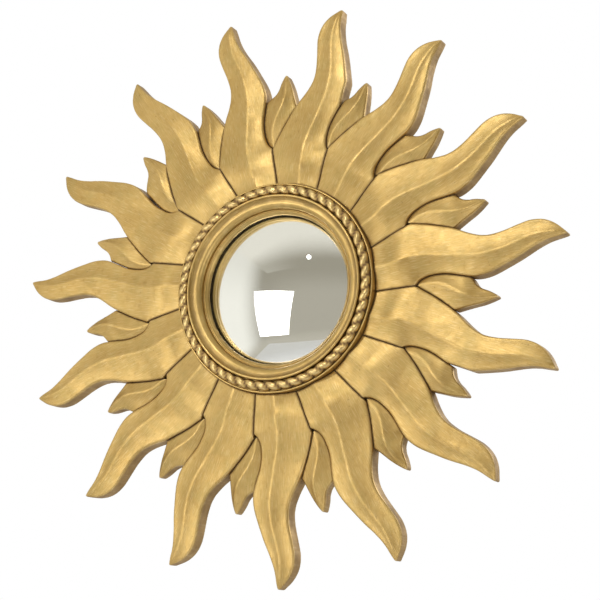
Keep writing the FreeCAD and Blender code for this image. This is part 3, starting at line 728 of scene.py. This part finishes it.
rope = {
    "ringRadius": 100.7 * mm,
    "radius": 5.0 * mm,
    "middleY": -46.5 * mm,
    "flatY": -44.5 * mm,
    "strands": 54,
    "slant": 37.0,
    "stepsPerStrand": 24,
    "aroundSteps": 30,
    "grooveDepth": 1.6 * mm,
    "grooveWidth": 1.25 * mm,
    "strandRound": 0.35 * mm,
    "fullness": 0.8,  # below 1 the rope's section is squarer than a round
    "flankStart": 1.15,  # radians round the rope from its front
    "flankReach": 0.6,
    # painted shade on the rope's sides
    "flankShade": 0.45,
    "worn": 0.38,
    "wearAndHighlightEdge": (0.9, 6),  # where the pale wear and painted highlight stop beside a cut, and how fast
    # painted shade in the cuts between the strands
    "cutShade": 0.95,
    "cutShadeStart": 0.08,
    "cutShadeGain": 1.7,
}


def carveRope(s):
    bpy.ops.mesh.primitive_torus_add(
        major_segments=s["strands"] * s["stepsPerStrand"], minor_segments=s["aroundSteps"],
        major_radius=s["ringRadius"], minor_radius=s["radius"], rotation=(math.radians(90), 0, 0),
    )
    piece = bpy.context.object
    piece.name = "ropeMoulding"
    bpy.ops.object.transform_apply(location=True, rotation=True, scale=True)
    points = pointsOf(piece)
    ring, angle = roundPlaces(points)
    around = np.arctan2(ring - s["ringRadius"], -points[:, 1])  # 0 at the rope's front, positive outwards
    lean = math.tan(math.radians(s["slant"])) * s["radius"] / s["ringRadius"]
    phase = (angle - np.sin(around) * lean) * s["strands"] / (2 * math.pi)
    pitch = 2 * math.pi * s["ringRadius"] / s["strands"] * math.cos(math.radians(s["slant"]))
    away = np.abs(phase - np.round(phase)) * pitch
    cut = np.exp(-((away / s["grooveWidth"]) ** 2))
    reach = s["radius"] - cut * s["grooveDepth"] - s["strandRound"] * (2 * away / pitch - 1) ** 2
    sideways = np.sign(np.sin(around)) * np.abs(np.sin(around)) ** s["fullness"]
    onward = np.sign(np.cos(around)) * np.abs(np.cos(around)) ** s["fullness"]
    newRing = s["ringRadius"] + reach * sideways
    newY = np.minimum(s["middleY"] - reach * onward, s["flatY"])
    moved = np.stack([newRing * np.cos(angle), newY, newRing * np.sin(angle)], 1)
    piece.data.vertices.foreach_set("co", moved.ravel())
    piece.data.update()
    makeActive(piece)
    bpy.ops.object.shade_smooth()
    storeRoundMap(piece)
    flank = np.clip((np.abs(around) - s["flankStart"]) / s["flankReach"], 0, 1)
    edge, fall = s["wearAndHighlightEdge"]
    # the strands' crests are marked pale away from the cuts and sides: partly wear, partly a painted
    # highlight
    storeAttribute(piece, "worn", np.clip(edge - cut * fall, 0, 1) * (1 - flank) * s["worn"])
    # painted shade in the cuts and on the rope's sides
    dark = np.clip((cut - s["cutShadeStart"]) * s["cutShadeGain"], 0, s["cutShade"])
    storeAttribute(piece, "grime", np.maximum(dark, flank * s["flankShade"]))
    finishPiece(piece, hubGilt, "rope_moulding")


turnHub(hub)
carveRope(rope)
print("hub and rope carved")


# ---- glass ----

glass = {
    "domeRadius": 226.0 * mm,
    "domeY": 178.986 * mm,  # the middle of the dome's sphere
    "edgeRadius": 81.0 * mm,
    "thickness": 3.0 * mm,
    "silverMargin": 0.5 * mm,
    "silverThickness": 0.3 * mm,
    "silverGap": 0.01 * mm,
    "rings": 48,
    "steps": 180,
    "smoothAngle": 30,
}


def capSection(s, outerRadius, frontBall, backBall):
    # a bowl's section from the axis over the front to the edge and back to the axis
    front, back = [], []
    for index in range(s["rings"] + 1):
        radius = outerRadius * index / s["rings"]
        front.append((radius, s["domeY"] - math.sqrt(frontBall**2 - radius**2)))
        back.append((radius, s["domeY"] - math.sqrt(backBall**2 - radius**2)))
    return front + back[::-1]


def glassMaterial():
    material, tree = newMaterial("clearGlass")
    showSurface(
        tree, "ShaderNodeBsdfPrincipled", in_Base_Color=(0.97, 0.985, 0.98, 1), in_Roughness=0.0,
        in_IOR=1.5, in_Transmission_Weight=1.0,
    )
    return material


def silverMaterial():
    material, tree = newMaterial("silverCoat")
    foxing = spread(tree, noise(tree, objectPlace(tree), 260, 4, 0.7), 0.70, 0.78)
    colour = mixColour(tree, foxing, (0.93, 0.925, 0.91, 1), (0.45, 0.38, 0.30, 1))
    showSurface(tree, "ShaderNodeBsdfPrincipled", in_Base_Color=colour, in_Metallic=1.0, in_Roughness=0.02)
    return material


def backingPaint():
    material, tree = newMaterial("backingPaint")
    brush = noise(tree, objectPlace(tree), 60, 4, 0.6)
    colour = mixColour(tree, spread(tree, brush, 0.35, 0.7), (0.17, 0.17, 0.17, 1), (0.26, 0.255, 0.25, 1))
    showSurface(
        tree, "ShaderNodeBsdfPrincipled", in_Base_Color=colour, in_Roughness=0.6,
        in_Normal=bumpOf(tree, brush, 0.3, 0.3 * mm),
    )
    return material


def blowGlass(s):
    back = s["domeRadius"] - s["thickness"]
    smooth = math.radians(s["smoothAngle"])
    dome = turnedRing("convexGlass", capSection(s, s["edgeRadius"], s["domeRadius"], back), s["steps"])
    bpy.ops.object.shade_smooth_by_angle(angle=smooth)
    finishPiece(dome, glassMaterial(), "convex_glass")
    coat = capSection(
        s, s["edgeRadius"] - s["silverMargin"], back - s["silverGap"], back - s["silverThickness"]
    )
    silver = turnedRing("silvering", coat, s["steps"])
    bpy.ops.object.shade_smooth_by_angle(angle=smooth)
    finishPiece(silver, silverMaterial(), "silvering")
    silver.data.materials.append(backingPaint())
    for face in silver.data.polygons:
        face.material_index = 1 if face.normal.y > 0 else 0


blowGlass(glass)
print("glass blown")


# ---- boards, felt, screws and brass behind ----

boards = {
    "plywoodBoard": {
        "light": (0.47, 0.32, 0.18, 1), "dark": (0.30, 0.185, 0.095, 1), "stain": (0.19, 0.115, 0.06, 1),
        "stretch": (7, 90, 90), "roughness": 0.62, "ply": 1.5 * mm,
    },
    "softwoodBoard": {
        "light": (0.64, 0.46, 0.27, 1), "dark": (0.42, 0.26, 0.13, 1), "stain": (0.33, 0.20, 0.10, 1),
        "stretch": (10, 120, 120), "roughness": 0.6, "ply": 0,
    },
    "hardboard": {
        "light": (0.24, 0.135, 0.07, 1), "dark": (0.15, 0.08, 0.04, 1), "stain": (0.09, 0.05, 0.028, 1),
        "stretch": (160, 160, 160), "roughness": 0.48, "ply": 0,
    },
}


def boardMaterial(name, s):
    material, tree = newMaterial(name)
    coordinates = add(tree, "ShaderNodeTexCoord").outputs
    place = coordinates["Object"]
    grain = stretched(tree, place, s["stretch"])
    rings = noise(tree, grain, 1.0, 6, 0.65)
    fibres = noise(tree, grain, 5.0, 3)
    blotches = noise(tree, place, 13, 4, 0.6)
    colour = mixColour(tree, spread(tree, rings, 0.35, 0.68), s["light"], s["dark"])
    colour = mixColour(tree, spread(tree, fibres, 0.58, 0.75, 0, 0.6), colour, s["dark"])
    if s["ply"]:
        facing = add(tree, "ShaderNodeSeparateXYZ", in_Vector=coordinates["Normal"]).outputs["Y"]
        depth = add(tree, "ShaderNodeSeparateXYZ", in_Vector=place).outputs["Y"]
        layer = maths(tree, "PINGPONG", depth, s["ply"])
        layers = mixColour(tree, spread(tree, layer, 0.3 * s["ply"], 0.7 * s["ply"]), s["light"], s["stain"])
        colour = mixColour(tree, spread(tree, maths(tree, "ABSOLUTE", facing), 0.7, 0.5), colour, layers)
    showSurface(
        tree, "ShaderNodeBsdfPrincipled",
        in_Base_Color=mixColour(tree, spread(tree, blotches, 0.48, 0.8, 0, 0.7), colour, s["stain"]),
        in_Roughness=spread(tree, rings, 0.3, 0.7, s["roughness"] - 0.08, s["roughness"] + 0.12),
        in_Normal=bumpOf(tree, fibres, 0.35, 0.4 * mm),
    )
    return material


def feltMaterial():
    material, tree = newMaterial("darkFelt")
    fuzz = noise(tree, objectPlace(tree), 900, 4, 0.7)
    colour = mixColour(tree, spread(tree, fuzz, 0.35, 0.7), (0.035, 0.026, 0.02, 1), (0.10, 0.078, 0.06, 1))
    showSurface(
        tree, "ShaderNodeBsdfPrincipled", in_Base_Color=colour, in_Roughness=0.95, in_Sheen_Weight=0.4,
        in_Normal=bumpOf(tree, fuzz, 0.8, 0.5 * mm),
    )
    return material


def wornMetal(name, bright, dull, roughness, scratchScale):
    material, tree = newMaterial(name)
    place = objectPlace(tree)
    tarnish = noise(tree, place, 150, 5, 0.65)
    scratches = noise(tree, stretched(tree, place, scratchScale), 1.0, 3)
    colour = mixColour(tree, spread(tree, tarnish, 0.42, 0.7, 0, 0.85), bright, dull)
    colour = mixColour(tree, spread(tree, attributeOf(tree, "worn"), 0.1, 0.8, 0, 0.7), colour, bright)
    showSurface(
        tree, "ShaderNodeBsdfPrincipled", in_Base_Color=colour, in_Metallic=1.0,
        in_Roughness=spread(tree, tarnish, 0.35, 0.7, roughness - 0.06, roughness + 0.16),
        in_Normal=bumpOf(tree, scratches, 0.2, 0.2 * mm),
    )
    return material


plywoodSkin, softwoodSkin, hardboardSkin = [boardMaterial(name, s) for name, s in boards.items()]
feltSkin = feltMaterial()
screwSkin = wornMetal("screwSteel", (0.62, 0.61, 0.58, 1), (0.33, 0.31, 0.28, 1), 0.34, (900, 900, 90))
brassSkin = wornMetal("hangerBrass", (0.82, 0.62, 0.29, 1), (0.47, 0.32, 0.13, 1), 0.33, (120, 1200, 1200))

behind = {
    # node: material, slot, body, width of the softened edges
    "backing_ring": (plywoodSkin, "plywood", "mirror", 0.4 * mm),
    "packing_ring": (softwoodSkin, "softwood", "mirror", 0.3 * mm),
    "glass_gasket": (feltSkin, "felt", "mirror", 0.2 * mm),
    "backboard": (hardboardSkin, "hardboard", "mirror", 0.3 * mm),
    "hub_screws": (screwSkin, "screw_steel", "mirror", 0),
    "large_ray_screws": (screwSkin, "screw_steel", "mirror", 0),
    "small_ray_screws": (screwSkin, "screw_steel", "mirror", 0),
    "turn_button_screws": (screwSkin, "screw_steel", "mirror", 0.15 * mm),
    "hanger_screws": (screwSkin, "screw_steel", "mirror", 0),
    "hanger_plate": (brassSkin, "hanger_brass", "mirror", 0.15 * mm),
    "hanger_ring": (brassSkin, "hanger_brass", "hanger_ring", 0),
}
for button in ("turn_button_1", "turn_button_2", "turn_button_3", "turn_button_4"):
    behind[button] = (brassSkin, "hanger_brass", button, 0.2 * mm)

flatWithin = math.radians(0.3)  # faces this nearly flat to each other are joined
softenFrom = math.radians(50)
smoothUpTo = math.radians(35)


def dressBehind(nodeName, material, slotName, body, softened):
    piece = copyOfNode(nodeName)
    bpy.ops.object.mode_set(mode="EDIT")
    bpy.ops.mesh.select_all(action="SELECT")
    bpy.ops.mesh.dissolve_limited(angle_limit=flatWithin)
    bpy.ops.object.mode_set(mode="OBJECT")
    if softened:
        applyModifier(
            piece, "BEVEL", width=softened, segments=2, limit_method="ANGLE", angle_limit=softenFrom
        )
    bpy.ops.object.shade_smooth_by_angle(angle=smoothUpTo)
    storeAttribute(piece, "worn", np.clip(bulge(piece) * 2, 0, 1))
    finishPiece(piece, material, nodeName, body)


for behindName, behindSettings in behind.items():
    dressBehind(behindName, *behindSettings)
print("back dressed")
